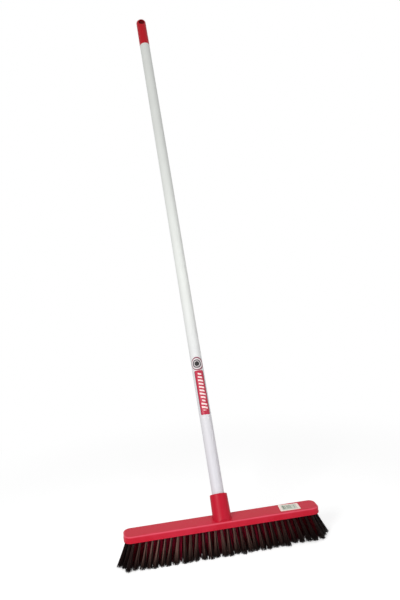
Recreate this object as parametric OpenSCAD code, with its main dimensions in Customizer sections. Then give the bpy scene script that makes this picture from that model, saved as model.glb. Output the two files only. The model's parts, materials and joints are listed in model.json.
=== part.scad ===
// Push broom: a moulded head with a leaning threaded socket, five rows of
// bristle tufts held by flat wire anchors, and a steel handle that screws in.
// Millimetres. +Z up, the head along X, the sweeping front towards -Y.
// The origin is under the middle of the head, on the plane of the bristle tips.

/* [Head block] */
// Length of the head along X
block_len = 400; // [380:1:440]
// Depth of the head, front to back, above its lip
block_depth = 44.5; // [44:0.5:52]
// Height of the head, from its underside to its flat top
block_h = 13.5; // [13:0.1:18]
// Radius of the corners, seen from above
corner_r = 14.5; // [10:0.5:18]
// Radius of the top edge
edge_r = 3.4; // [1:0.1:5]
// How far the lip round the underside stands out
lip_out = 0.6; // [0.2:0.1:1.5]
// Height of that lip
lip_h = 2.2; // [1:0.1:4]

/* [Bristles] */
// Length of the bristles below the head, measured straight down
trim_len = 55; // [45:0.5:60]
// Tufts in the middle row
mid_tufts = 32; // [26:1:32]
// Distance between tufts in a row
tuft_pitch = 12.5; // [12:0.05:12.5]
// Distance between rows
row_pitch = 8.5; // [8:0.1:8.5]
// Diameter of a tuft hole
hole_d = 5.5; // [5:0.1:5.8]
// Depth of a tuft hole along its own line
hole_depth = 10; // [9:0.1:10.5]
// Radius of a tuft where its cut tip meets the floor
tuft_tip_r = 6.3; // [5:0.1:6.3]
// Lean of the front and rear rows, out from upright, in degrees
splay = 8; // [6:0.5:10]
// Lean along the head of a tuft at its middle, in degrees
fan_mid = 0.5; // [-2:0.1:2]
// How that lean grows with the distance from the middle, in degrees at the end
fan_slope = 17; // [14:0.5:19]
// Extra lean of the last tufts at both ends, in degrees at the end
fan_curl = 4; // [0:0.1:5]

/* [Anchors] */
// Thickness of the flat anchor wire
anchor_t = 0.4; // [0.3:0.05:0.6]
// Width of the flat anchor wire, along the hole
anchor_h = 1.6; // [1.2:0.1:1.8]
// How far each end of an anchor bites into the wall of its hole
anchor_bite = 0.3; // [0.2:0.05:0.5]

/* [Socket] */
// Lean of the socket and handle back from upright, in degrees
lean = 29; // [24:0.5:32]
// Length of the socket above the head, along the handle
socket_len = 46.8; // [45:0.1:54]
// Outer diameter of the socket at its rim
socket_rim_d = 35.8; // [34:0.2:37]
// Outer diameter of the socket at its foot
socket_foot_d = 38; // [37:0.5:40]
// Radius of the edge of the rim
rim_edge_r = 0.8; // [0.5:0.1:1.5]
// Height of the flat pad round the socket's foot
pad_h = 2; // [1:0.1:3]
// How far that pad stands out round the foot
pad_out = 1.5; // [1:0.1:3]
// Depth of the wide mouth that the end of the tube sits in
mouth_depth = 9; // [8:0.5:12]
// Diameter of that mouth
mouth_d = 27.6; // [27.6:0.1:28.4]
// Depth of the threaded hole below the mouth
thread_hole_depth = 30; // [29:0.5:31]

/* [Handle] */
// Outer diameter of the steel tube
tube_d = 25.4; // [25:0.1:25.6]
// Wall of the steel tube
tube_wall = 0.5; // [0.5:0.05:0.8]
// Length of the steel tube
tube_len = 1178; // [1000:1:1300]

/* [Threaded tip] */
// Outer diameter over the thread
thread_d = 21.8; // [21:0.1:22]
// Depth of the thread
thread_h = 1.5; // [1:0.1:1.8]
// Rise of the thread in one turn
thread_pitch = 5; // [4:0.5:5.5]
// Ridges of the thread, one under the other
thread_turns = 5; // [4:1:5]
// Length of the bare nose below the thread
nose_len = 2; // [1:0.1:3]
// Thickness of the collar between the thread and the tube
collar_t = 2; // [1.5:0.1:3]
// Length of the plug inside the tube
tip_plug_len = 34; // [25:1:45]
// Diameter of the hollow inside the tip
tip_core_d = 15; // [12:0.5:16]

/* [Hanging cap] */
// Length of the cap above the tube
cap_len = 84.5; // [75:0.5:100]
// Diameter of the cap beside the tube
cap_low_d = 25.8; // [24.6:0.1:25.9]
// Diameter of the cap near its top
cap_high_d = 25; // [23.6:0.1:25.4]
// Radius of the rounded top
cap_round_r = 7.5; // [5:0.5:9]
// Diameter of the hanging eye, front to back
eye_d = 15; // [10:0.5:18]
// Distance from the top of the eye to the top of the cap
eye_drop = 5; // [4.5:0.5:12]
// Length of the plug inside the tube
cap_plug_len = 28; // [20:1:40]
// Diameter of the hollow inside the cap
cap_core_d = 18; // [15:0.5:20]

/* [Labels] */
// Thickness of the label film
film_t = 0.15; // [0.1:0.05:0.2]
// Distance from the socket's rim up to the long label
label_up = 164.5; // [140:0.5:400]
// Length of the long label along the tube
label_len = 98; // [60:1:120]
// Angle of the tube that the long label wraps
label_arc = 98; // [60:1:150]
// Turn of the labels from the front of the tube towards the right
label_turn = -1; // [-30:1:30]
// Diameter of the round label above it
disc_d = 30.5; // [25:0.5:36]
// Size of the sticker on the head along X
sticker_w = 42; // [30:0.5:60]
// Size of the sticker on the head, front to back
sticker_h = 29; // [24:0.5:32]
// Place of the sticker's middle along X
sticker_x = 141.5; // [90:0.5:150]
// Place of the sticker's middle, back from the middle of the head
sticker_y = 0.5; // [-1:0.1:2]
// Turn of the sticker in degrees, as it was put on by hand
sticker_turn = -2; // [-5:0.5:5]

/* [Hidden] */

top_z = trim_len + block_h; // flat top of the head
straight_x = block_len / 2 - corner_r; // middle of the head to its corner centres
straight_y = block_depth / 2 - corner_r;
flat_half = block_depth / 2 - edge_r; // middle of the head to the edge of its flat top
run_gap = 0.05; // radial gap of a running fit
seat_gap = 0.1; // gap left under a face that comes to rest on another
past = 1; // how far a cutter runs past the face it cuts
round_fn = 64;
fine_fn = 24;

step_z = socket_len - mouth_depth; // floor of the mouth, along the handle
thread_len = nose_len + thread_turns * thread_pitch;
collar_z = step_z + seat_gap; // underside of the tip's collar
tube_z = collar_z + collar_t + run_gap; // lower end of the tube
cap_z = tube_z + tube_len; // upper end of the tube
collar_d = tube_d - 0.2;
tube_bore_r = tube_d / 2 - tube_wall;
plug_r = tube_bore_r - run_gap; // plugs of the tip and the cap
cap_floor_z = cap_len - eye_drop - eye_d - 6; // top of the cap's hollow
plug_chamfer = 2;

row_reach = 2; // rows on each side of the middle row
tuft_root_r = 2; // a tuft where its anchor holds it
root_depth = hole_depth - anchor_h; // top of a tuft, up its hole
mouth_r = hole_d / 2 - 0.08; // a tuft where it leaves its hole
tuft_slope = (tuft_tip_r - mouth_r) / trim_len; // growth of a tuft's radius
tuft_over = 8; // cut off below the floor, so that a leaning tip is whole

// Everything on the handle is placed along the socket's own line
module along_handle(z) {
    translate([0, 0, top_z]) rotate([-lean, 0, 0]) translate([0, 0, z]) children();
}

// ---- Head block and its socket ----

// Half outline of the head's wall: flat top, rounded edge, straight side, lip
module wall_half(run) {
    square([run, block_h - edge_r]);
    square([run - edge_r, block_h]);
    translate([run - edge_r, block_h - edge_r]) circle(edge_r, $fn = round_fn);
    square([run + lip_out, lip_h]);
}

module wall_whole(run) {
    wall_half(run);
    mirror([1, 0]) wall_half(run);
}

module block_body() {
    translate([0, 0, trim_len]) {
        for (sx = [-1, 1], sy = [-1, 1])
            translate([sx * straight_x, sy * straight_y, 0])
                rotate_extrude($fn = round_fn) wall_half(corner_r);
        rotate([90, 0, 90]) translate([0, 0, -straight_x])
            linear_extrude(2 * straight_x) wall_whole(block_depth / 2);
        rotate([90, 0, 0]) translate([0, 0, -straight_y])
            linear_extrude(2 * straight_y) wall_whole(block_len / 2);
    }
}

// The socket's cone goes down into the block, and its front ends with the flat top
module socket_body() {
    rim_r = socket_rim_d / 2;
    foot_r = socket_foot_d / 2;
    grow = (foot_r - rim_r) / socket_len;
    intersection() {
        along_handle(0) {
            translate([0, 0, -foot_r])
                cylinder(socket_len + foot_r - rim_edge_r, foot_r + grow * foot_r,
                         rim_r + grow * rim_edge_r, $fn = round_fn);
            translate([0, 0, socket_len - rim_edge_r])
                cylinder(rim_edge_r, rim_r + grow * rim_edge_r, rim_r - rim_edge_r, $fn = round_fn);
        }
        translate([-foot_r - past, -flat_half, top_z - edge_r])
            cube([2 * (foot_r + past), 3 * flat_half, 2 * socket_len]);
    }
}

// Low round pad where the leaning socket meets the flat top, which it fills
// from front to back
module socket_pad() {
    pad_r = socket_foot_d / 2 + pad_out;
    translate([0, 0, top_z - past]) linear_extrude(pad_h + past) intersection() {
        circle(pad_r, $fn = round_fn);
        square([2 * pad_r, 2 * flat_half], center = true);
    }
}

module head_block() {
    color("#d0202f") difference() {
        union() {
            block_body();
            socket_body();
            socket_pad();
        }
        along_handle(step_z) cylinder(mouth_depth + past, d = mouth_d, $fn = round_fn);
        along_handle(step_z - thread_hole_depth)
            cylinder(thread_hole_depth + past, r = thread_d / 2 + run_gap, $fn = round_fn);
        for (row = [-row_reach:row_reach], i = [0:row_count(row) - 1])
            at_tuft(row, i) translate([0, 0, -3])
                cylinder(hole_depth + 3, d = hole_d, $fn = fine_fn);
    }
}

module head_sticker() {
    color("#cfd6c6") translate([sticker_x, sticker_y, top_z]) rotate(sticker_turn)
        linear_extrude(film_t) square([sticker_w, sticker_h], center = true);
}

// ---- Bristle tufts and their anchors ----

// Rows lose one tuft for each step away from the middle row
function row_count(row) = mid_tufts - abs(row);
function tuft_x(row, i) = (i - (row_count(row) - 1) / 2) * tuft_pitch;

// Lean of a tuft along the head, from its place along the head
function fan(x) = let (u = 2 * x / block_len)
    fan_mid + fan_slope * u + fan_curl * u * u * u;
function lean_out(row) = splay * row / row_reach;

// Line of a tuft, from its tip up into the head
function tuft_line(row, i) = [-tan(fan(tuft_x(row, i))), -tan(lean_out(row)), 1];

// Puts its children at the mouth of a tuft's hole, with +Z up the hole
module at_tuft(row, i) {
    line = tuft_line(row, i);
    tilt = acos(1 / norm(line));
    heading = atan2(line[1], line[0]);
    translate([tuft_x(row, i), row * row_pitch, trim_len])
        rotate([0, 0, heading]) rotate([0, tilt, 0]) rotate([0, 0, -heading]) children();
}

// A tuft is a bundle of bristles that opens from its root to its cut tip
module tuft(row, i) {
    below = trim_len * norm(tuft_line(row, i)) + tuft_over;
    root_slope = (mouth_r - tuft_root_r) / root_depth;
    grow = min(tuft_slope, root_slope);
    at_tuft(row, i) translate([0, 0, -below])
        cylinder(below + root_depth, mouth_r + grow * below, mouth_r - grow * root_depth,
                 $fn = fine_fn);
}

module tuft_row(row, first, last) {
    difference() {
        for (i = [first:last]) tuft(row, i);
        translate([-block_len, -block_len / 2, -2 * tuft_over])
            cube([2 * block_len, block_len, 2 * tuft_over]);
    }
}

// Flat wire driven across the root of each tuft, with both ends in the block
module anchor_row(row, first, last) {
    for (i = [first:last])
        at_tuft(row, i) translate([0, 0, root_depth + anchor_h / 2])
            cube([hole_d + 2 * anchor_bite, anchor_t, anchor_h], center = true);
}

last_outer = row_count(row_reach) - 1;
last_inner = row_count(1) - 1;
last_middle = row_count(0) - 1;

module front_tufts() { color("#1c1616") tuft_row(-2, 0, last_outer); }
module front_red_tufts() { color("#8a1420") tuft_row(-1, 1, last_inner - 1); }
module middle_red_tufts() { color("#8a1420") tuft_row(0, 1, last_middle - 1); }
module rear_red_tufts() { color("#8a1420") tuft_row(1, 1, last_inner - 1); }
module rear_tufts() { color("#1c1616") tuft_row(2, 0, last_outer); }

module left_end_tufts() {
    color("#1c1616") for (row = [-1:1]) tuft_row(row, 0, 0);
}

module right_end_tufts() {
    color("#1c1616") for (row = [-1:1]) tuft_row(row, row_count(row) - 1, row_count(row) - 1);
}

module front_anchors() { color("#b8bcc0") anchor_row(-2, 0, last_outer); }
module front_red_anchors() { color("#b8bcc0") anchor_row(-1, 1, last_inner - 1); }
module middle_red_anchors() { color("#b8bcc0") anchor_row(0, 1, last_middle - 1); }
module rear_red_anchors() { color("#b8bcc0") anchor_row(1, 1, last_inner - 1); }
module rear_anchors() { color("#b8bcc0") anchor_row(2, 0, last_outer); }

module left_end_anchors() {
    color("#b8bcc0") for (row = [-1:1]) anchor_row(row, 0, 0);
}

module right_end_anchors() {
    color("#b8bcc0") for (row = [-1:1]) anchor_row(row, row_count(row) - 1, row_count(row) - 1);
}

// ---- Handle ----

// One ridge of the thread in outline, for a ridge that starts at height z
function ridge(z) = let (outer = thread_d / 2, inner = thread_d / 2 - thread_h) [
    [inner, z + 0.15 * thread_pitch], [outer, z + 0.38 * thread_pitch],
    [outer, z + 0.62 * thread_pitch], [inner, z + 0.85 * thread_pitch]
];

// Threaded tip: nose, thread, collar, then a plug inside the tube
module screw_tip() {
    inner = thread_d / 2 - thread_h;
    ridges = [for (k = [0:thread_turns - 1], p = ridge(nose_len + k * thread_pitch)) p];
    top = thread_len + collar_t + run_gap + tip_plug_len;
    color("#c4202c") along_handle(collar_z - thread_len) difference() {
        rotate_extrude($fn = round_fn) polygon(concat(
            [[0, 0], [inner - nose_len, 0], [inner, nose_len]],
            ridges,
            [[inner, thread_len], [collar_d / 2, thread_len],
             [collar_d / 2, thread_len + collar_t], [plug_r, thread_len + collar_t],
             [plug_r, top - plug_chamfer], [plug_r - plug_chamfer, top], [0, top]]
        ));
        translate([0, 0, nose_len + 4]) cylinder(top, d = tip_core_d, $fn = round_fn);
    }
}

module handle_tube() {
    color("#e4e4e6") along_handle(tube_z) difference() {
        cylinder(tube_len, d = tube_d, $fn = round_fn);
        translate([0, 0, -past]) cylinder(tube_len + 2 * past, r = tube_bore_r, $fn = round_fn);
    }
}

// Half outline of the cap: plug, tapered barrel, rounded top
module cap_half() {
    high = cap_len - cap_round_r;
    polygon([[0, -cap_plug_len], [plug_r - plug_chamfer, -cap_plug_len],
             [plug_r, plug_chamfer - cap_plug_len], [plug_r, 0], [cap_low_d / 2, 0],
             [cap_high_d / 2, high], [cap_high_d / 2 - cap_round_r, high],
             [cap_high_d / 2 - cap_round_r, cap_len], [0, cap_len]]);
    intersection() {
        translate([cap_high_d / 2 - cap_round_r, high]) circle(cap_round_r, $fn = round_fn);
        translate([cap_high_d / 2 - cap_round_r, high - past]) square(cap_round_r + past);
    }
}

module hang_cap() {
    color("#c4202c") along_handle(cap_z) difference() {
        rotate_extrude($fn = round_fn) cap_half();
        translate([0, 0, -cap_plug_len - past])
            cylinder(cap_plug_len + past + cap_floor_z, d = cap_core_d, $fn = round_fn);
        translate([0, 0, cap_len - eye_drop - eye_d / 2]) rotate([90, 0, 0])
            cylinder(2 * tube_d, d = eye_d, center = true, $fn = round_fn);
    }
}

// A film wrapped on the tube, from one angle to another and over one length
module wrap(length, arc) {
    rotate([0, 0, label_turn - 90 - arc / 2]) rotate_extrude(angle = arc, $fn = round_fn)
        translate([tube_d / 2, 0]) square([film_t, length]);
}

module handle_label() {
    color("#c8283c") along_handle(socket_len + label_up) wrap(label_len, label_arc);
}

// The round label is a film cut by a disc seen from its own front
module disc_label() {
    middle = socket_len + label_up + label_len + disc_d / 2 + 0.5;
    color("#d8d4d4") intersection() {
        along_handle(middle - disc_d / 2) wrap(disc_d, 140);
        along_handle(middle) rotate([0, 0, label_turn]) rotate([90, 0, 0])
            cylinder(tube_d, d = disc_d, $fn = round_fn);
    }
}

head_block();
head_sticker();
front_tufts();
front_red_tufts();
middle_red_tufts();
rear_red_tufts();
rear_tufts();
left_end_tufts();
right_end_tufts();
front_anchors();
front_red_anchors();
middle_red_anchors();
rear_red_anchors();
rear_anchors();
left_end_anchors();
right_end_anchors();
screw_tip();
handle_tube();
hang_cap();
handle_label();
disc_label();
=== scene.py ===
# Push broom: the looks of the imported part.
# Metres, +Z up, the head along X, the sweeping front towards -Y.
import bpy
import json
import math
import numpy as np
from mathutils import Matrix, Vector


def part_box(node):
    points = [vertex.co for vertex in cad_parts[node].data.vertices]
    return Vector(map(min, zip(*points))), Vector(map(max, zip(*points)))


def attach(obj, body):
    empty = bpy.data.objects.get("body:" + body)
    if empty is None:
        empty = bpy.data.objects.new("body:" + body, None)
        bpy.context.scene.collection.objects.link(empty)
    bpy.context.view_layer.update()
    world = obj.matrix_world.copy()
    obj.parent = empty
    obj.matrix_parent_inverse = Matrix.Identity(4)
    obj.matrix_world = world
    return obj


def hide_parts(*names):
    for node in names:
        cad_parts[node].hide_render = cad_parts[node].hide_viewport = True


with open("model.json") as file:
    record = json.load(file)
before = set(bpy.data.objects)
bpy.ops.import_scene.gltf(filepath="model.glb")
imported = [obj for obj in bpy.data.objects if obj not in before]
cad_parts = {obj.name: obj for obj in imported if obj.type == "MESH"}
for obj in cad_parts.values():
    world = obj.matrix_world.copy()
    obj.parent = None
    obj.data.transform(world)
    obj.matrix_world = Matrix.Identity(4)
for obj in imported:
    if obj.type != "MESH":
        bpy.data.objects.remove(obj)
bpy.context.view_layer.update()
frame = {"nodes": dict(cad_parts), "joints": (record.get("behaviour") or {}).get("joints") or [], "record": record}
print("frame: loaded", len(frame["nodes"]), "nodes")


# what the frame says

mm = 0.001
nodes = frame["nodes"]
mounts = {mount["name"]: mount for mount in frame["record"]["mounts"]}
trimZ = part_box("head_block")[0].z  # underside of the head, so also the bristles' free length
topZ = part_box("head_sticker")[0].z  # flat top of the head
upHandle = -Vector(frame["joints"][0]["axis"]).normalized()  # from the head up to the cap
frontHandle = Vector((0, -upHandle.z, upHandle.y))  # square to the handle, towards the front
handleFoot = Vector((0, 0, topZ))  # where the handle's line meets the head's flat top
tubeRadius = mounts["handle_grip"]["dims"]["r_mm"] * mm


def alongHandle(node):
    # lowest and highest place of a CAD node, measured up the handle's line from its foot
    places = np.zeros(len(nodes[node].data.vertices) * 3)
    nodes[node].data.vertices.foreach_get("co", places)
    up = (places.reshape(-1, 3) - np.array(handleFoot)) @ np.array(upHandle)
    return up.min(), up.max()


# small tools for materials

def linear(hexColour):
    # sRGB hex to linear light: c / 12.92 in the dark, else ((c + 0.055) / 1.055) to the power 2.4
    values = [int(hexColour[i:i + 2], 16) / 255 for i in (1, 3, 5)]
    return [c / 12.92 if c <= 0.04045 else ((c + 0.055) / 1.055) ** 2.4 for c in values] + [1]


def addNode(tree, kind, settings=None, inputs=None):
    # settings are the node's properties; inputs are values, or the sockets that feed them
    node = tree.nodes.new("ShaderNode" + kind)
    for key, value in (settings or {}).items():
        setattr(node, key, value)
    for key, value in (inputs or {}).items():
        if isinstance(value, bpy.types.NodeSocket):
            tree.links.new(value, node.inputs[key])
        else:
            node.inputs[key].default_value = value
    return node


def emptyTree(owner):
    # the node tree of a material or a world, with nothing in it yet
    owner.use_nodes = True
    owner.node_tree.nodes.clear()
    return owner.node_tree


def finishMaterial(tree, inputs):
    # closes a material's tree with the shader that its nodes feed, and the output
    shader = addNode(tree, "BsdfPrincipled", inputs=inputs)
    addNode(tree, "OutputMaterial", inputs={"Surface": shader.outputs[0]})


usualNoise = (0.3, 0.7)  # most noise values lie between these


# small tools for pieces

def setMaterial(piece, material):
    piece.data.materials.clear()
    piece.data.materials.append(material)


def newPiece(name, points, faces, material):
    # points is an array of places, faces a list of index arrays, each with one kind of polygon
    mesh = bpy.data.meshes.new(name)
    loops = np.concatenate([f.ravel() for f in faces]).astype(np.int32)
    sizes = np.concatenate([np.full(len(f), f.shape[1]) for f in faces])
    starts = np.concatenate([[0], np.cumsum(sizes)[:-1]]).astype(np.int32)
    mesh.vertices.add(len(points))
    mesh.vertices.foreach_set("co", np.asarray(points, np.float32).ravel())
    mesh.loops.add(len(loops))
    mesh.loops.foreach_set("vertex_index", loops)
    mesh.polygons.add(len(starts))
    mesh.polygons.foreach_set("loop_start", starts)
    mesh.polygons.foreach_set("use_smooth", np.full(len(starts), True))
    mesh.update(calc_edges=True)
    mesh.validate()
    piece = bpy.data.objects.new(name, mesh)
    bpy.context.scene.collection.objects.link(piece)
    setMaterial(piece, material)
    return piece


def printedSheet(name, points, faces, material, uv, thick):
    # a sheet of points with a flat print on it, thickened on its outer side
    piece = newPiece(name, points.reshape(-1, 3), faces, material)
    layer = piece.data.uv_layers.new(name="print")
    corners = np.zeros(len(piece.data.loops), np.int32)
    piece.data.loops.foreach_get("vertex_index", corners)
    layer.data.foreach_set("uv", uv.reshape(-1, 2)[corners].astype(np.float32).ravel())
    sheet = piece.modifiers.new("sheet", "SOLIDIFY")
    sheet.thickness = thick
    sheet.offset = 1
    return piece


def gridFaces(rows, columns, closed=False):
    # quads between neighbouring points of a grid, whose points are numbered row by row; a closed
    # grid joins its last column to its first
    r = np.arange(rows - 1)[:, None]
    c = np.arange(columns if closed else columns - 1)[None, :]
    nextC = (c + 1) % columns
    corners = [r * columns + c, r * columns + nextC, (r + 1) * columns + nextC, (r + 1) * columns + c]
    return np.stack([np.broadcast_to(k, (r.size, c.size)) for k in corners], -1).reshape(-1, 4)


def onHandle(along, side, front):
    # places given along the handle, to its right and towards its front, as places in the frame
    along, side, front = np.broadcast_arrays(along, side, front)
    return (np.array(handleFoot) + along[..., None] * np.array(upHandle)
            + side[..., None] * np.array([1, 0, 0]) + front[..., None] * np.array(frontHandle))


# plastics

redPlastic = {
    # the socket's red is the block's plastic darkened with painted shade
    "head": "#c2182f", "headPale": "#ca2c44", "socket": "#b6102a", "cap": "#bb1322",
    "blockEnd": 2.5 * mm,  # over the flat top, where the block's colour has given way to the socket's
    "flow": 45 * mm, "flowFrom": 0.35, "flowTo": 0.7, "flowShare": 0.8,
    "smoothest": 0.36, "roughest": 0.5, "specular": 0.16,  # low, or white surroundings grey the red
    "scuff": "#c83a4c", "scuffSize": 7 * mm, "scuffStretch": (0.12, 1, 1),
    "scuffFrom": 0.62, "scuffTo": 0.74, "scuffShare": 0.3,
    "grain": 0.5 * mm, "grainDepth": 0.012 * mm, "grainStrength": 0.6,  # coarser than the real one
    # painted highlight along the rounded top edge: its colour, its depth under the flat top and its strength
    "ridge": "#e2667a", "ridgeDepth": 3.4 * mm, "ridgeHighlightShare": 0.55,
    # painted shade inside the hanging eye: its colour, its strength and its reach
    "eyeShade": "#72060f", "eyeShadeShare": 0.8, "eyeShadeReach": 0.3 * mm,  # past the wall of the hanging eye
}


def scuffed(tree, place, clean):
    # a few pale marks, drawn out along the head
    drawn = addNode(tree, "Mapping", inputs={"Vector": place, "Scale": redPlastic["scuffStretch"]})
    marks = addNode(tree, "TexNoise", inputs={
        "Vector": drawn.outputs[0], "Scale": 1 / redPlastic["scuffSize"], "Detail": 6, "Roughness": 0.75,
        "Distortion": 0.8})
    share = addNode(tree, "MapRange", inputs={
        "Value": marks.outputs["Fac"], "From Min": redPlastic["scuffFrom"],
        "From Max": redPlastic["scuffTo"], "To Max": redPlastic["scuffShare"]})
    return addNode(tree, "Mix", {"data_type": "RGBA"}, {
        0: share.outputs[0], 6: clean, 7: linear(redPlastic["scuff"])}).outputs[2]


def paintedRidgeHighlight(tree, place, clean):
    # Painted highlight: paler where the moulding's top edge rounds over. For the upward part n of the surface's
    # direction, 4 n squared (1 - n squared) is 1 where it leans by half a right angle, and 0 where
    # it is level or upright. Only the ridge's depth under the flat top counts.
    facing = addNode(tree, "TexCoord").outputs["Normal"]
    upward = addNode(tree, "SeparateXYZ", inputs={0: facing}).outputs[2]
    square = addNode(tree, "Math", {"operation": "MULTIPLY"}, {0: upward, 1: upward}).outputs[0]
    rest = addNode(tree, "Math", {"operation": "SUBTRACT"}, {0: 1.0, 1: square}).outputs[0]
    lean = addNode(tree, "Math", {"operation": "MULTIPLY"}, {0: square, 1: rest}).outputs[0]
    paintedHighlight = addNode(tree, "Math", {"operation": "MULTIPLY"}, {0: lean, 1: 4 * redPlastic["ridgeHighlightShare"]})
    height = addNode(tree, "SeparateXYZ", inputs={0: place}).outputs[2]
    half = redPlastic["ridgeDepth"] / 2
    near = addNode(tree, "Math", {"operation": "COMPARE"}, {0: height, 1: topZ - half, 2: half})
    share = addNode(tree, "Math", {"operation": "MULTIPLY"}, {0: paintedHighlight.outputs[0], 1: near.outputs[0]})
    return addNode(tree, "Mix", {"data_type": "RGBA"}, {
        0: share.outputs[0], 6: clean, 7: linear(redPlastic["ridge"])}).outputs[2]


def paintedEyeShade(tree, place, clean):
    # painted shade: darker where the place is hardly further from the eye's line than the eye's own radius
    eye = mounts["hang_eye"]
    radius = eye["dims"]["r_mm"] * mm
    away = addNode(tree, "VectorMath", {"operation": "SUBTRACT"}, {0: place, 1: Vector(eye["pos_m"])})
    beside = addNode(tree, "VectorMath", {"operation": "CROSS_PRODUCT"}, {
        0: away.outputs[0], 1: Vector(eye["axis"])})
    reach = addNode(tree, "VectorMath", {"operation": "LENGTH"}, {0: beside.outputs[0]})
    share = addNode(tree, "MapRange", inputs={
        "Value": reach.outputs["Value"], "From Min": radius, "From Max": radius + redPlastic["eyeShadeReach"],
        "To Min": redPlastic["eyeShadeShare"], "To Max": 0.0})
    return addNode(tree, "Mix", {"data_type": "RGBA"}, {
        0: share.outputs[0], 6: clean, 7: linear(redPlastic["eyeShade"])}).outputs[2]


def headColour(tree, place, flow):
    # a paler block under a socket darkened to a deeper red with painted shade, and cloudy patches on the block
    height = addNode(tree, "SeparateXYZ", inputs={0: place}).outputs[2]
    block = addNode(tree, "MapRange", inputs={
        "Value": height, "From Min": topZ, "From Max": topZ + redPlastic["blockEnd"],
        "To Min": 1.0, "To Max": 0.0}).outputs[0]
    base = addNode(tree, "Mix", {"data_type": "RGBA"}, {
        0: block, 6: linear(redPlastic["socket"]), 7: linear(redPlastic["head"])})
    cloud = addNode(tree, "MapRange", inputs={
        "Value": flow, "From Min": redPlastic["flowFrom"], "From Max": redPlastic["flowTo"],
        "To Max": redPlastic["flowShare"]})
    patch = addNode(tree, "Math", {"operation": "MULTIPLY"}, {0: cloud.outputs[0], 1: block})
    body = addNode(tree, "Mix", {"data_type": "RGBA"}, {
        0: patch.outputs[0], 6: base.outputs[2], 7: linear(redPlastic["headPale"])})
    return paintedRidgeHighlight(tree, place, scuffed(tree, place, body.outputs[2]))


def capColour(tree, place, flow):
    # one even red, whatever the flow, with scuffs and painted shade inside the hanging eye
    return paintedEyeShade(tree, place, scuffed(tree, place, linear(redPlastic["cap"])))


def mouldedPolypropylene(name, colouring):
    # Injection-moulded polypropylene: satin, with a fine spark-eroded grain, a gloss that is
    # cloudy where the melt flowed, and pale scuffs, so that wide faces don't look dead flat
    material = bpy.data.materials.new(name)
    tree = emptyTree(material)
    place = addNode(tree, "TexCoord").outputs["Object"]
    flow = addNode(tree, "TexNoise", inputs={
        "Vector": place, "Scale": 1 / redPlastic["flow"], "Detail": 3, "Roughness": 0.6}).outputs["Fac"]
    gloss = addNode(tree, "MapRange", inputs={
        "Value": flow, "From Min": usualNoise[0], "From Max": usualNoise[1],
        "To Min": redPlastic["smoothest"], "To Max": redPlastic["roughest"]})
    grain = addNode(tree, "TexNoise", inputs={
        "Vector": place, "Scale": 1 / redPlastic["grain"], "Detail": 2})
    bump = addNode(tree, "Bump", inputs={
        "Height": grain.outputs["Fac"], "Distance": redPlastic["grainDepth"],
        "Strength": redPlastic["grainStrength"]})
    finishMaterial(tree, {
        "Base Color": colouring(tree, place, flow), "Roughness": gloss.outputs[0],
        "IOR": 1.49, "Specular IOR Level": redPlastic["specular"], "Normal": bump.outputs[0]})
    return material


headPlastic = mouldedPolypropylene("head_polypropylene", headColour)
capPlastic = mouldedPolypropylene("cap_polypropylene", capColour)
setMaterial(nodes["head_block"], headPlastic)
setMaterial(nodes["hang_cap"], capPlastic)
print("plastics: done")


# coated tube

tubeCoat = {
    # the foot colour is painted shade, greyer towards the bottom
    "colour": "#e5e8e4", "shade": "#dddfdb", "foot": "#d4d2d7",
    "footShadeFrom": 150 * mm, "footShadeTo": 560 * mm,  # heights between which the foot's grey fades out
    "dust": 60 * mm, "smoothest": 0.38, "roughest": 0.52, "specular": 0.25,
    "peel": 2.2 * mm, "peelDepth": 0.01 * mm, "peelStrength": 0.5,
}


def powderCoatedSteel():
    # White powder-coated steel tube: satin, with orange peel that breaks up its highlight, a
    # little cold-green above, faintly mottled, and greyer towards its foot with painted shade
    material = bpy.data.materials.new("powder_coated_steel")
    tree = emptyTree(material)
    place = addNode(tree, "TexCoord").outputs["Object"]
    dust = addNode(tree, "TexNoise", inputs={
        "Vector": place, "Scale": 1 / tubeCoat["dust"], "Detail": 5, "Roughness": 0.65}).outputs["Fac"]
    tint = addNode(tree, "Mix", {"data_type": "RGBA"}, {
        0: dust, 6: linear(tubeCoat["colour"]), 7: linear(tubeCoat["shade"])})
    height = addNode(tree, "SeparateXYZ", inputs={0: place}).outputs[2]
    high = addNode(tree, "MapRange", {"interpolation_type": "SMOOTHSTEP"}, {
        "Value": height, "From Min": tubeCoat["footShadeFrom"], "From Max": tubeCoat["footShadeTo"]})
    coat = addNode(tree, "Mix", {"data_type": "RGBA"}, {
        0: high.outputs[0], 6: linear(tubeCoat["foot"]), 7: tint.outputs[2]})
    gloss = addNode(tree, "MapRange", inputs={
        "Value": dust, "From Min": usualNoise[0], "From Max": usualNoise[1],
        "To Min": tubeCoat["smoothest"], "To Max": tubeCoat["roughest"]})
    peel = addNode(tree, "TexNoise", inputs={
        "Vector": place, "Scale": 1 / tubeCoat["peel"], "Detail": 1})
    bump = addNode(tree, "Bump", inputs={
        "Height": peel.outputs["Fac"], "Distance": tubeCoat["peelDepth"],
        "Strength": tubeCoat["peelStrength"]})
    finishMaterial(tree, {
        "Base Color": coat.outputs[2], "Roughness": gloss.outputs[0], "IOR": 1.5,
        "Specular IOR Level": tubeCoat["specular"], "Normal": bump.outputs[0]})
    return material


setMaterial(nodes["handle_tube"], powderCoatedSteel())


# anchors

anchorWire = {
    "bright": "#c4c7ca", "dull": "#9da1a5", "smoothest": 0.25, "roughest": 0.5,
    "line": 0.15 * mm, "lineStretch": (0.1, 1, 1),  # coarser than the real ones
}


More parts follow.
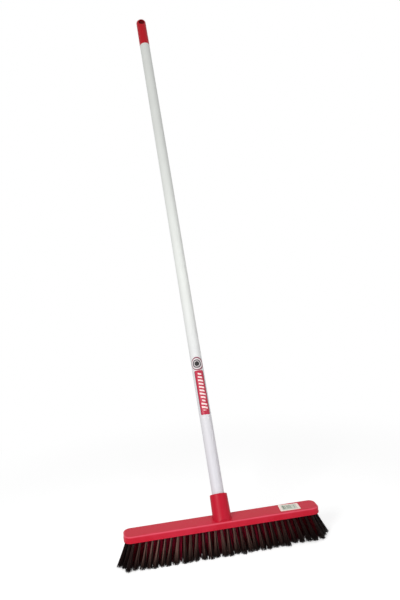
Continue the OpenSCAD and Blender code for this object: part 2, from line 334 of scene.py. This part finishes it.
def drawnSteelWire():
    # Flat drawn steel wire: bright, with fine duller lines along the draw
    material = bpy.data.materials.new("drawn_steel_wire")
    tree = emptyTree(material)
    drawn = addNode(tree, "Mapping", inputs={
        "Vector": addNode(tree, "TexCoord").outputs["Object"], "Scale": anchorWire["lineStretch"]})
    lines = addNode(tree, "TexNoise", inputs={
        "Vector": drawn.outputs[0], "Scale": 1 / anchorWire["line"], "Detail": 3}).outputs["Fac"]
    zinc = addNode(tree, "Mix", {"data_type": "RGBA"}, {
        0: lines, 6: linear(anchorWire["bright"]), 7: linear(anchorWire["dull"])})
    gloss = addNode(tree, "MapRange", inputs={
        "Value": lines, "To Min": anchorWire["smoothest"], "To Max": anchorWire["roughest"]})
    finishMaterial(tree, {
        "Base Color": zinc.outputs[2], "Metallic": 1.0, "Roughness": gloss.outputs[0]})
    return material


wire = drawnSteelWire()
for name, node in nodes.items():
    if name.endswith("_anchors"):
        setMaterial(node, wire)
print("tube and anchors: done")


# bristles

bristles = {
    "tuftPitch": 12.5 * mm, "rowPitch": 8.5 * mm, "middleCount": 32, "outerRow": 2,
    "splay": 8, "fanMid": 0.5, "fanSlope": 17, "fanCurl": 4, "wander": 1.8,  # degrees
    "strands": 96, "strandRadius": 0.3 * mm, "rings": 6, "ringEase": 0.9,
    "sides": 4,  # a strand's flat end is then one quad, as its walls are
    "mouthRadius": 2.4 * mm, "tipRadius": 6.9 * mm, "rootDepth": 4 * mm,
    "tuftWidths": (0.88, 1.08), "offsets": (0.86, 1.06),  # random shares of the even values
    "stray": 0.8 * mm, "ragged": 0.8 * mm, "raggedShape": (1.6, 0.35), "seed": 7,
    "shortPlace": (-0.21, -0.14, 0.06, 0.19), "short": 3 * mm,  # splayed tufts end higher
    # painted highlight on the side of each tuft that faces the key lamp, and painted shade towards the ends of the
    # head, which fades it and the strands paled by dust
    "highlightSide": (-0.6, -0.8), "highlightFrom": 0.67, "highlightDepth": (0.3, 1),
    "litPlace": (-0.185, -0.15, 0.0, 0.16), "litShare": (0.05, 1, 0.9, 0.05),
    # powers of the flare and of how rare a pale strand is
    "blackBuild": (1.8, 7), "redBuild": (0.9, 3),
    # a strand's own colour, its pale colour from dust and painted highlight, and the painted shade at its tip
    "black": ("#150504", "#a57e73", "#0a0303"), "red": ("#54040f", "#e02050", "#34040b"),
    "tipShadeFrom": 0.35, "tipShadeShare": 0.85, "waxy": 0.34, "paleStrandRoughness": 0.55, "specular": 0.08,
}
goldenAngle = math.pi * (3 - math.sqrt(5))


def lastHole(row):
    # number of a row's last hole, from 0; rows lose one hole for each row away from the middle
    return bristles["middleCount"] - abs(row) - 1


def tuftPlaces(row, first, last):
    # Holes lie at equal steps. Each row of the array holds a tuft's place at the underside and its
    # two slopes: along the head, by a cubic in its place, and outwards, by its row.
    b = bristles
    x = (np.arange(first, last + 1) - lastHole(row) / 2) * b["tuftPitch"]
    u = 2 * x / (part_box("head_block")[1].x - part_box("head_block")[0].x)
    fan = np.radians(b["fanMid"] + b["fanSlope"] * u + b["fanCurl"] * u ** 3)
    lean = math.radians(b["splay"] * row / b["outerRow"])
    return np.stack([x, np.full_like(x, row * b["rowPitch"]), np.tan(fan),
                     np.full_like(x, math.tan(lean))], -1)


def strandPaths(tufts, flare, random):
    # Going down from its hole, a strand's place is the tuft's line, plus its own offset in the
    # bundle times a reach that grows from the mouth's to the tip's radius as the flare power of
    # the drop, plus a stray bend that grows as the square of the drop.
    b = bristles
    shape = (len(tufts), b["strands"])
    tufts = tufts + np.radians(b["wander"]) * random.normal(0, 1, (len(tufts), 4)) * (0, 0, 1, 1)
    wide = random.uniform(*b["tuftWidths"], (len(tufts), 1, 1))
    order = np.arange(b["strands"]) + 0.5
    turn = order * goldenAngle + random.uniform(0, 2 * math.pi, (len(tufts), 1))
    spread = np.sqrt(order / b["strands"]) * random.uniform(*b["offsets"], shape)
    offset = np.stack([np.cos(turn), np.sin(turn)], -1) * spread[..., None]
    bend = random.normal(0, 1, shape + (2,)) * b["stray"]
    ends = np.interp(tufts[:, 0], b["shortPlace"], (b["short"], 0, 0, b["short"]))
    short = random.gamma(*b["raggedShape"], shape) * b["ragged"] + ends[:, None]
    t = np.linspace(0, 1, b["rings"]) ** b["ringEase"]
    drop = -b["rootDepth"] + (trimZ + b["rootDepth"] - short)[..., None] * t
    share = np.clip(drop / trimZ, 0, 1)
    reach = b["mouthRadius"] + (b["tipRadius"] * wide - b["mouthRadius"]) * share ** flare
    centre = (tufts[:, None, None, 0:2] + tufts[:, None, None, 2:4] * drop[..., None]
              + offset[:, :, None, :] * reach[..., None] + bend[:, :, None, :] * share[..., None] ** 2)
    return centre, drop, share, offset


def thinRods(centre, height):
    # a rod with flat ends round each path: its rings lie level, at the heights given, with their
    # points at equal angles and one radius from the path
    b = bristles
    around = np.arange(b["sides"]) * 2 * math.pi / b["sides"]
    ring = np.stack([np.cos(around), np.sin(around)], -1) * b["strandRadius"]
    flat = centre[:, :, :, None, :] + ring
    level = np.broadcast_to(height[..., None, None], flat.shape[:-1] + (1,))
    points = np.concatenate([flat, level], -1).reshape(-1, 3)
    starts = (np.arange(len(centre) * b["strands"]) * b["rings"] * b["sides"])[:, None, None]
    wall = gridFaces(b["rings"], b["sides"], closed=True)[:, ::-1]
    root = np.arange(b["sides"])[None, :]
    tip = (np.arange(b["sides"])[::-1] + (b["rings"] - 1) * b["sides"])[None, :]
    faces = (starts + np.concatenate([wall, root, tip])[None]).reshape(-1, b["sides"])
    return points, faces


def strandDustAndHighlight(tufts, offset, rarity, random):
    # painted highlight: grows from nothing to 1 over the outermost strands on the side that faces the key lamp, by
    # a random share, and a few strands anywhere are pale with dust; painted shade fades both towards the ends of
    # the head
    b = bristles
    shape = offset.shape[:2]
    facing = offset @ np.array(b["highlightSide"])
    # painted shade towards the ends of the head
    place = np.interp(tufts[:, 0], b["litPlace"], b["litShare"])[:, None]
    dust = np.clip((facing - b["highlightFrom"]) / (1 - b["highlightFrom"]), 0, 1)
    dust = dust * random.uniform(*b["highlightDepth"], shape)
    return np.maximum(dust, random.uniform(0, 1, shape) ** rarity) * place


def bristlePiece(name, tufts, material, flare, rarity, seed):
    # every strand of every tuft as a thin rod, with its dust and painted highlight and the share of its way down
    # kept as attributes
    random = np.random.default_rng(seed)
    centre, drop, share, offset = strandPaths(tufts, flare, random)
    points, faces = thinRods(centre, trimZ - drop)
    piece = newPiece(name, points, [faces], material)
    dust = strandDustAndHighlight(tufts, offset, rarity, random)
    tone = np.repeat(dust.ravel(), bristles["rings"] * bristles["sides"])
    along = np.repeat(share.ravel(), bristles["sides"])
    for kind, values in (("tone", tone), ("along", along)):
        piece.data.attributes.new(kind, "FLOAT", "POINT").data.foreach_set("value", values)
    return piece


def bristleFilament(name, colour, dustAndHighlightColour, tipShadeColour):
    # Extruded PVC filament: waxy, near black or deep red, paler on some strands of each tuft with dust
    # and painted highlight, and darker towards its tip with painted shade
    material = bpy.data.materials.new(name)
    tree = emptyTree(material)
    tone = addNode(tree, "Attribute", {"attribute_name": "tone"}).outputs["Fac"]
    along = addNode(tree, "Attribute", {"attribute_name": "along"}).outputs["Fac"]
    strand = addNode(tree, "Mix", {"data_type": "RGBA"}, {
        0: tone, 6: linear(colour), 7: linear(dustAndHighlightColour)})
    # painted shade, darker towards each strand's tip
    reach = addNode(tree, "MapRange", {"interpolation_type": "SMOOTHSTEP"}, {
        "Value": along, "From Min": bristles["tipShadeFrom"], "To Max": bristles["tipShadeShare"]})
    shadedTip = addNode(tree, "Mix", {"data_type": "RGBA"}, {
        0: reach.outputs[0], 6: strand.outputs[2], 7: linear(tipShadeColour)})
    gloss = addNode(tree, "MapRange", inputs={
        "Value": tone, "To Min": bristles["waxy"], "To Max": bristles["paleStrandRoughness"]})
    finishMaterial(tree, {
        "Base Color": shadedTip.outputs[2], "Roughness": gloss.outputs[0], "IOR": 1.5,
        "Specular IOR Level": bristles["specular"]})
    return material


filaments = {kind: bristleFilament(kind + "_filament", *bristles[kind]) for kind in ("black", "red")}
outer = bristles["outerRow"]
redRows = (-1, 0, 1)
# each set's kind, and its rows with the first and last hole that it fills
bristleSets = {
    "front": ("black", [(-outer, 0, lastHole(outer))]),
    "front_red": ("red", [(-1, 1, lastHole(1) - 1)]),
    "middle_red": ("red", [(0, 1, lastHole(0) - 1)]),
    "rear_red": ("red", [(1, 1, lastHole(1) - 1)]),
    "rear": ("black", [(outer, 0, lastHole(outer))]),
    "left_end": ("black", [(row, 0, 0) for row in redRows]),
    "right_end": ("black", [(row, lastHole(row), lastHole(row)) for row in redRows]),
}
for number, (name, (kind, rows)) in enumerate(bristleSets.items()):
    tufts = np.concatenate([tuftPlaces(*row) for row in rows])
    flare, rarity = bristles[kind + "Build"]
    seed = bristles["seed"] + number
    piece = bristlePiece(name + "_bristles", tufts, filaments[kind], flare, rarity, seed)
    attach(piece, "head")
    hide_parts(name + "_tufts")
print("bristles: done")


# threaded tip and the thread in the socket

thread = {
    "pitch": 5 * mm, "turns": 5, "outer": 10.9 * mm, "root": 9.4 * mm,  # the last two are radii
    "nose": 2 * mm, "noseShoulder": (0.6, 0.15), "nosePoints": 3,  # shoulder: inwards and up
    "ridgeFoot": 0.35, "ridgeTop": 0.12,  # half widths, in pitches
    "rampTurns": 0.35,  # over which ridge and rib rise and run out
    "sharpFrom": 35,  # degrees between two faces
    "around": 96, "steps": 20,  # points round the tip, and points up each pitch
    "ribInner": 9.95 * mm, "ribOuter": 11.05 * mm, "ribTurns": 4.2, "ribEnd": 0.02,
    "ribFoot": 1.15 * mm, "ribTop": 0.5 * mm, "ribShoulder": (0.6, 0.25 * mm),
}
tipLow, tipHigh = alongHandle("screw_tip")
threadLength = thread["nose"] + thread["turns"] * thread["pitch"]
collar = {
    "low": threadLength, "high": threadLength + 2 * mm, "radius": tubeRadius - 0.1 * mm,
    "lowEdge": 0.3 * mm, "highEdge": 0.2 * mm,
}
plug = {
    "radius": tubeRadius - 0.55 * mm, "chamfer": 2 * mm, "core": 7.5 * mm, "coreEdge": 0.4 * mm,
    "floor": 6 * mm,
}


def ridgeShare(up, angle):
    # how high the ridge stands, 0 to 1: a trapezoid across each turn of a right-hand helix,
    # faded in and out over the first and last part of a turn
    t = thread
    turn = (up - t["nose"]) / t["pitch"]
    phase = turn - angle / (2 * math.pi)
    away = np.abs((phase + 0.5) % 1 - 0.5)
    across = np.clip((t["ridgeFoot"] - away) / (t["ridgeFoot"] - t["ridgeTop"]), 0, 1)
    fade = np.clip(turn / t["rampTurns"], 0, 1) * np.clip((t["turns"] - turn) / t["rampTurns"], 0, 1)
    return across * fade


def tipProfile(rise):
    # radius and height from the nose's middle, up the thread, the collar and the plug, and down
    # into the plug's hollow core; rise gives the heights of the points on the thread
    t, height = thread, tipHigh - tipLow
    inwards, up = t["noseShoulder"]
    nose = [(0, 0), (t["root"] - t["nose"], 0), (t["root"] - inwards * t["nose"], up * t["nose"])]
    screw = np.stack([np.full_like(rise, t["root"]), rise], -1)
    rest = [
        (t["root"], collar["low"]), (collar["radius"] - collar["lowEdge"], collar["low"]),
        (collar["radius"], collar["low"] + collar["lowEdge"]),
        (collar["radius"], collar["high"] - collar["highEdge"]),
        (collar["radius"] - collar["highEdge"], collar["high"]), (plug["radius"], collar["high"]),
        (plug["radius"], height - plug["chamfer"]), (plug["radius"] - plug["chamfer"], height),
        (plug["core"] + plug["coreEdge"], height), (plug["core"], height - plug["coreEdge"]),
        (plug["core"], plug["floor"]), (0, plug["floor"]),
    ]
    return np.concatenate([nose, screw, rest])


def screwTip():
    # one profile carried round the axis; where it is thread, its radius also follows the helix
    t = thread
    rise = np.linspace(t["nose"], threadLength - collar["lowEdge"], t["turns"] * t["steps"])
    profile = tipProfile(rise)
    angle = np.arange(t["around"]) * 2 * math.pi / t["around"]
    radius = np.repeat(profile[:, :1], len(angle), 1)
    up = np.repeat(profile[:, 1:], len(angle), 1)
    threaded = slice(t["nosePoints"], t["nosePoints"] + len(rise))
    radius[threaded] += (t["outer"] - t["root"]) * ridgeShare(up[threaded], angle[None, :])
    points = onHandle(tipLow + up, radius * np.cos(angle), -radius * np.sin(angle))
    points = np.concatenate([points[:1, 0], points[1:-1].reshape(-1, 3), points[-1:, 0]])
    rings, n = len(profile) - 2, len(angle)
    wall = gridFaces(rings, n, closed=True) + 1
    k = np.arange(n)
    last = rings * n + 1
    foot = np.stack([0 * k, 1 + (k + 1) % n, 1 + k], -1)
    floor = np.stack([0 * k + last, last - n + k, last - n + (k + 1) % n], -1)
    return newPiece("threaded_tip", points, [wall, foot, floor], capPlastic)


def socketThread():
    # a rounded rib carried along a right-hand helix inside the socket's hole
    t = thread
    turn = np.linspace(0, t["ribTurns"], int(t["ribTurns"] * t["around"]) + 1)
    taper = np.clip(np.minimum(turn, t["ribTurns"] - turn) / t["rampTurns"], t["ribEnd"], 1)
    rise, wide = t["ribShoulder"]
    shoulder = t["ribTop"] + wide
    section = np.array([(0, -t["ribFoot"]), (rise, -shoulder), (1, -t["ribTop"]),
                        (1, t["ribTop"]), (rise, shoulder), (0, t["ribFoot"])])
    depth = (t["ribOuter"] - t["ribInner"]) * section[:, 0][None, :] * taper[:, None]
    radius = t["ribOuter"] - depth
    angle = 2 * math.pi * turn[:, None]
    up = tipLow + t["nose"] + (turn[:, None] + 0.5) * t["pitch"] + section[:, 1][None, :]
    points = onHandle(up, radius * np.cos(angle), -radius * np.sin(angle)).reshape(-1, 3)
    n = len(section)
    wall = gridFaces(len(turn), n, closed=True)
    ends = np.stack([np.arange(n)[::-1], np.arange(n) + (len(turn) - 1) * n])
    return newPiece("socket_thread", points, [wall, ends], headPlastic)


def faceOutwards(piece):
    # turns the faces of a closed piece outwards
    bpy.context.view_layer.objects.active = piece
    bpy.ops.object.mode_set(mode="EDIT")
    bpy.ops.mesh.select_all(action="SELECT")
    bpy.ops.mesh.normals_make_consistent(inside=False)
    bpy.ops.object.mode_set(mode="OBJECT")


tip = screwTip()
rib = socketThread()
for piece, body, slot in ((tip, "handle", "tip_plastic"), (rib, "head", "head_plastic")):
    faceOutwards(piece)
    piece.data.set_sharp_from_angle(angle=math.radians(thread["sharpFrom"]))
    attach(piece, body)
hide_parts("screw_tip")
print("threads: done")


# labels

label = {
    "corner": 3.5 * mm, "lift": 0.02 * mm, "film": 0.13 * mm, "disc": 30.5 * mm,
    "turn": -1, "arc": 98,  # degrees round the tube
    "columns": 25, "rows": 61, "rings": 13,
    "red": "#b5183a", "dark": "#7c1030", "pale": "#f3d9d7", "paper": "#dcd6d6",
    "glossy": 0.16, "handled": 0.34, "smears": 9,  # across a film, so each is about 2 to 3 mm wide
    "bars": 13.2, "slope": 0.8, "barHalf": 0.25,  # steps up the film, across it, in half a bar
    # places and widths on the prints, as shares of their size
    "panelHalf": 0.43, "barsAt": 0.52, "barShort": 0.16, "barLong": 0.3, "runHalf": 0.43,
    "hub": (0.45, 0.49, 0),
    # rim, ring and dot of the disc: colour, middle radius and half width
    "bands": (("#8a4a5a", 0.45, 0.05), ("#5e5559", 0.27, 0.05), ("#120c0e", 0.0, 0.18)),
}
labelRadius = tubeRadius + label["lift"]
labelLow, labelHigh = alongHandle("handle_label")
discLow, discHigh = alongHandle("disc_label")


def wrapped(name, across, along, faces, material, uv):
    # a flat film, given by its places across and along, wrapped round the front of the tube: the
    # angle round the tube is the place across over the radius
    angle = across / labelRadius + math.radians(label["turn"])
    points = onHandle(along, labelRadius * np.sin(angle), labelRadius * np.cos(angle))
    piece = printedSheet(name, points, faces, material, uv, label["film"])
    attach(piece, "handle")
    return piece


def longLabel(material):
    # rows of points across a strip, each as wide as the circles of its rounded corners leave it
    half = math.radians(label["arc"]) / 2 * labelRadius
    share = (1 - np.cos(np.linspace(0, math.pi, label["rows"]))) / 2
    along = labelLow + (labelHigh - labelLow) * share
    near = np.clip(label["corner"] - np.minimum(along - labelLow, labelHigh - along), 0, None)
    width = half - label["corner"] + np.sqrt(label["corner"] ** 2 - near ** 2)
    across = width[:, None] * np.linspace(-1, 1, label["columns"])[None, :]
    along = np.broadcast_to(along[:, None], across.shape)
    uv = np.stack([across / half / 2 + 0.5, (along - labelLow) / (labelHigh - labelLow)], -1)
    return wrapped("handle_label_film", across, along, [gridFaces(*across.shape)], material, uv)


def roundLabel(material):
    # rings of points round the disc's middle
    middle = (discLow + discHigh) / 2
    angle = np.arange(4 * label["columns"]) * math.pi / 2 / label["columns"]
    radius = np.linspace(0, 1, label["rings"])[1:, None]
    u, v = radius * np.cos(angle), radius * np.sin(angle)
    u, v = np.append(0, u.ravel()), np.append(0, v.ravel())
    n, k = len(angle), np.arange(len(angle))
    wall = gridFaces(label["rings"] - 1, n, closed=True)[:, ::-1] + 1
    hub = np.stack([0 * k, 1 + k, 1 + (k + 1) % n], -1)
    half = label["disc"] / 2
    uv = np.stack([u, v], -1) / 2 + 0.5
    return wrapped("disc_label_film", u * half, middle + v * half, [wall, hub], material, uv)


def printedFilm(name, ink):
    # Glossy printed polyester film over the coat, with faint handling marks in its gloss
    material = bpy.data.materials.new(name)
    tree = emptyTree(material)
    place = addNode(tree, "UVMap", {"uv_map": "print"}).outputs[0]
    marks = addNode(tree, "TexNoise", inputs={"Vector": place, "Scale": label["smears"], "Detail": 4})
    gloss = addNode(tree, "MapRange", inputs={
        "Value": marks.outputs["Fac"], "To Min": label["glossy"], "To Max": label["handled"]})
    finishMaterial(tree, {"Base Color": ink(tree, place), "Roughness": gloss.outputs[0], "IOR": 1.5})
    return material


def slantedBars(tree, place):
    # red panel with a dark edge and a column of plain slanted pale bars of uneven length
    u, v = addNode(tree, "SeparateXYZ", inputs={0: place}).outputs[:2]
    rise = addNode(tree, "Math", {"operation": "MULTIPLY"}, {0: v, 1: label["bars"]})
    step = addNode(tree, "Math", {"operation": "MULTIPLY_ADD"}, {
        0: u, 1: label["slope"], 2: rise.outputs[0]}).outputs[0]
    part = addNode(tree, "Math", {"operation": "FRACT"}, {0: step})
    bar = addNode(tree, "Math", {"operation": "COMPARE"}, {0: part.outputs[0], 1: 0.5, 2: label["barHalf"]})
    number = addNode(tree, "Math", {"operation": "FLOOR"}, {0: step})
    each = addNode(tree, "TexWhiteNoise", {"noise_dimensions": "1D"}, {"W": number.outputs[0]})
    length = addNode(tree, "MapRange", inputs={
        "Value": each.outputs["Value"], "To Min": label["barShort"], "To Max": label["barLong"]})
    column = addNode(tree, "Math", {"operation": "COMPARE"}, {
        0: u, 1: label["barsAt"], 2: length.outputs[0]})
    run = addNode(tree, "Math", {"operation": "COMPARE"}, {0: v, 1: label["barsAt"], 2: label["runHalf"]})
    field = addNode(tree, "Math", {"operation": "MULTIPLY"}, {0: column.outputs[0], 1: run.outputs[0]})
    pale = addNode(tree, "Math", {"operation": "MULTIPLY"}, {0: bar.outputs[0], 1: field.outputs[0]})
    inside = addNode(tree, "Math", {"operation": "COMPARE"}, {0: u, 1: 0.5, 2: label["panelHalf"]})
    ground = addNode(tree, "Mix", {"data_type": "RGBA"}, {
        0: inside.outputs[0], 6: linear(label["dark"]), 7: linear(label["red"])})
    return addNode(tree, "Mix", {"data_type": "RGBA"}, {
        0: pale.outputs[0], 6: ground.outputs[2], 7: linear(label["pale"])}).outputs[2]


def plainRings(tree, place):
    # pale disc with a thin rim, a grey ring and a dark dot
    radius = addNode(tree, "VectorMath", {"operation": "DISTANCE"}, {0: place, 1: label["hub"]})
    colour = linear(label["paper"])
    for ink, middle, half in label["bands"]:
        band = addNode(tree, "Math", {"operation": "COMPARE"}, {
            0: radius.outputs["Value"], 1: middle, 2: half})
        colour = addNode(tree, "Mix", {"data_type": "RGBA"}, {
            0: band.outputs[0], 6: colour, 7: linear(ink)}).outputs[2]
    return colour


longFilm = longLabel(printedFilm("printed_red_film", slantedBars))
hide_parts("handle_label")
discFilm = roundLabel(printedFilm("printed_pale_film", plainRings))
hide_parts("disc_label")


# sticker

sticker = {
    "wide": 42 * mm, "deep": 29 * mm, "thick": 0.12 * mm, "gap": 0.01 * mm, "cells": 33,
    "turn": -2,  # degrees
    "corner": 0.45 * mm, "cornerPower": 24, "ripple": 0.04 * mm, "waves": (5, 4), "phase": 1,
    "curl": 2.2 * mm, "curlFrom": 0.6,  # on the diagonal, which runs from -2 to 2
    # the paper colour is cream with a pink tint that is painted reflection of the red head
    "paper": "#f3e2d8", "panel": "#c9cdbf", "bar": "#7d8878",
    "sideMargin": 0.12, "endMargin": 0.1,  # shares of the sticker's width and depth
    "bars": 34, "barOver": 0.55, "barMiddle": 0.55, "barHalf": 0.28,
    "fibre": 0.35 * mm, "fibreDepth": 0.01 * mm, "fibreStrength": 0.4,  # coarser than real fibres
}


def paperSticker(material):
    # a grid over the sticker's rectangle, pulled in at its corners, faintly rippled by a product of
    # two sines, lifted at its far left corner by the square of the way along the diagonal, and
    # turned about the sticker's middle
    s = sticker
    low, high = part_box("head_sticker")
    turn = math.radians(s["turn"])
    u, v = np.meshgrid(np.linspace(-1, 1, s["cells"]), np.linspace(-1, 1, s["cells"]), indexing="ij")
    pull = s["corner"] * (np.abs(u) * np.abs(v)) ** s["cornerPower"]
    lift = s["curl"] * np.clip((v - u - s["curlFrom"]) / (2 - s["curlFrom"]), 0, 1) ** 2
    waveU, waveV = s["waves"]
    ripple = s["ripple"] * (1 + np.sin(waveU * u) * np.sin(waveV * v + s["phase"]))
    across = u * s["wide"] / 2 - np.sign(u) * pull
    back = v * s["deep"] / 2 - np.sign(v) * pull
    points = np.stack([(low.x + high.x) / 2 + across * math.cos(turn) - back * math.sin(turn),
                       (low.y + high.y) / 2 + across * math.sin(turn) + back * math.cos(turn),
                       low.z + s["gap"] + ripple + lift], -1)
    uv = np.stack([u, v], -1) / 2 + 0.5
    faces = gridFaces(*u.shape)[:, ::-1]
    piece = printedSheet("sticker_paper", points, [faces], material, uv, s["thick"])
    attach(piece, "head")
    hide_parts("head_sticker")


def printedPaper():
    # Coated label paper: cream with a pink tint of painted reflection from the red head, with a grey-green panel
    # of uneven plain bars, a little fibrous
    s = sticker
    material = bpy.data.materials.new("printed_label_paper")
    tree = emptyTree(material)
    place = addNode(tree, "UVMap", {"uv_map": "print"}).outputs[0]
    u, v = addNode(tree, "SeparateXYZ", inputs={0: place}).outputs[:2]
    inU = addNode(tree, "Math", {"operation": "COMPARE"}, {0: u, 1: 0.5, 2: 0.5 - s["sideMargin"]})
    inV = addNode(tree, "Math", {"operation": "COMPARE"}, {0: v, 1: 0.5, 2: 0.5 - s["endMargin"]})
    panel = addNode(tree, "Math", {"operation": "MULTIPLY"}, {0: inU.outputs[0], 1: inV.outputs[0]})
    step = addNode(tree, "Math", {"operation": "MULTIPLY"}, {0: u, 1: s["bars"]})
    cell = addNode(tree, "Math", {"operation": "FLOOR"}, {0: step.outputs[0]})
    pick = addNode(tree, "TexWhiteNoise", {"noise_dimensions": "1D"}, {"W": cell.outputs[0]})
    bar = addNode(tree, "Math", {"operation": "GREATER_THAN"}, {0: pick.outputs["Value"], 1: s["barOver"]})
    run = addNode(tree, "Math", {"operation": "COMPARE"}, {0: v, 1: s["barMiddle"], 2: s["barHalf"]})
    inked = addNode(tree, "Math", {"operation": "MULTIPLY"}, {0: bar.outputs[0], 1: run.outputs[0]})
    ground = addNode(tree, "Mix", {"data_type": "RGBA"}, {
        0: inked.outputs[0], 6: linear(s["panel"]), 7: linear(s["bar"])})
    ink = addNode(tree, "Mix", {"data_type": "RGBA"}, {
        0: panel.outputs[0], 6: linear(s["paper"]), 7: ground.outputs[2]})
    fibre = addNode(tree, "TexNoise", inputs={
        "Vector": place, "Scale": s["wide"] / s["fibre"], "Detail": 3})
    bump = addNode(tree, "Bump", inputs={
        "Height": fibre.outputs["Fac"], "Distance": s["fibreDepth"], "Strength": s["fibreStrength"]})
    finishMaterial(tree, {
        "Base Color": ink.outputs[2], "Roughness": 0.5, "IOR": 1.5, "Normal": bump.outputs[0]})
    return material


paperSticker(printedPaper())
print("labels and sticker: done")


# floor, light and camera

studio = {
    "floorSize": 12, "floorColour": "#d8d8d8", "fadeFrom": 0.35, "fadeTo": 1.0, "lift": 0.5,
    "worldLight": 0.46,
    "lamps": {
        "key": {"at": (-1.05, -1.2, 0.95), "aim": (0, 0.15, 0.5), "size": 0.7, "power": 18},
        "fill": {"at": (1.6, -1.9, 0.9), "aim": (0, 0.1, 0.4), "size": 1.4, "power": 10},
        "top": {"at": (0.05, -0.3, 1.4), "aim": (0, 0, 0.05), "size": 0.4, "power": 0.5, "spread": 70},
    },
    "aim": (-7.2 * mm, 0, 515.1 * mm), "distance": 1.3602,
    "azimuth": 9.4, "elevation": 7.1, "roll": -4.86,  # degrees
    "lens": 42, "sensor": 36,  # the camera's own millimetres
}


def isSeen(tree):
    # 1 for rays that the camera, gloss or glass sends, 0 for those that light the object
    rays = addNode(tree, "LightPath").outputs
    glossy = addNode(tree, "Math", {"operation": "MAXIMUM"}, {
        0: rays["Is Camera Ray"], 1: rays["Is Glossy Ray"]})
    return addNode(tree, "Math", {"operation": "MAXIMUM"}, {
        0: glossy.outputs[0], 1: rays["Is Transmission Ray"]}).outputs[0]


def paleFloor():
    # matt floor, lifted to white where it is seen and unshadowed, and plain white further out
    half = studio["floorSize"] / 2
    points = np.array([(-half, -half, 0), (half, -half, 0), (half, half, 0), (-half, half, 0)])
    material = bpy.data.materials.new("pale_floor")
    tree = emptyTree(material)
    place = addNode(tree, "TexCoord").outputs["Object"]
    reach = addNode(tree, "VectorMath", {"operation": "LENGTH"}, {0: place})
    far = addNode(tree, "MapRange", {"interpolation_type": "SMOOTHSTEP"}, {
        "Value": reach.outputs["Value"], "From Min": studio["fadeFrom"], "From Max": studio["fadeTo"]})
    matt = addNode(tree, "BsdfDiffuse", inputs={"Color": linear(studio["floorColour"])})
    white = addNode(tree, "Emission", inputs={"Strength": 1.0})
    lift = addNode(tree, "Emission", inputs={"Strength": studio["lift"]})
    near = addNode(tree, "AddShader", inputs={0: matt.outputs[0], 1: lift.outputs[0]})
    seen = addNode(tree, "MixShader", inputs={0: far.outputs[0], 1: near.outputs[0], 2: white.outputs[0]})
    both = addNode(tree, "MixShader", inputs={0: isSeen(tree), 1: matt.outputs[0], 2: seen.outputs[0]})
    addNode(tree, "OutputMaterial", inputs={"Surface": both.outputs[0]})
    return newPiece("floor", points, [np.array([[0, 1, 2, 3]])], material)


def studioWorld():
    # white where it is seen, and dimmer where it lights the object
    world = bpy.data.worlds.new("studio")
    bpy.context.scene.world = world
    tree = emptyTree(world)
    level = addNode(tree, "MapRange", inputs={"Value": isSeen(tree), "To Min": studio["worldLight"]})
    sky = addNode(tree, "Background", inputs={"Color": (1, 1, 1, 1), "Strength": level.outputs[0]})
    addNode(tree, "OutputWorld", inputs={"Surface": sky.outputs[0]})


def lookFrom(at, aim):
    # turned so that its own -Z points from at to aim
    turn = (Vector(aim) - Vector(at)).to_track_quat("-Z", "Y")
    return Matrix.Translation(at) @ turn.to_matrix().to_4x4()


def softLamp(name, facts):
    # a square lamp, whose light leaves it over the spread in degrees
    light = bpy.data.lights.new(name, "AREA")
    light.size = facts["size"]
    light.energy = facts["power"]
    light.spread = math.radians(facts.get("spread", 180))
    lamp = bpy.data.objects.new(name, light)
    lamp.matrix_world = lookFrom(facts["at"], facts["aim"])
    bpy.context.scene.collection.objects.link(lamp)


def mainCamera():
    # in front at the given distance from its aim, a little to the left and above it, and rolled
    azimuth, elevation, roll = (math.radians(studio[k]) for k in ("azimuth", "elevation", "roll"))
    view = Vector((math.sin(azimuth) * math.cos(elevation), math.cos(azimuth) * math.cos(elevation),
                   -math.sin(elevation)))
    level = Vector((math.cos(azimuth), -math.sin(azimuth), 0))
    upright = level.cross(view)
    right = math.cos(roll) * level + math.sin(roll) * upright
    up = math.cos(roll) * upright - math.sin(roll) * level
    data = bpy.data.cameras.new("camera")
    data.lens = studio["lens"]
    data.sensor_fit = "VERTICAL"
    data.sensor_height = studio["sensor"]
    camera = bpy.data.objects.new("camera", data)
    turn = Matrix((right, up, -view)).transposed().to_4x4()
    camera.matrix_world = Matrix.Translation(Vector(studio["aim"]) - view * studio["distance"]) @ turn
    bpy.context.scene.collection.objects.link(camera)
    bpy.context.scene.camera = camera


paleFloor()
studioWorld()
for name, facts in studio["lamps"].items():
    softLamp(name, facts)
mainCamera()
bpy.context.scene.view_settings.view_transform = "Standard"
print("studio: done")
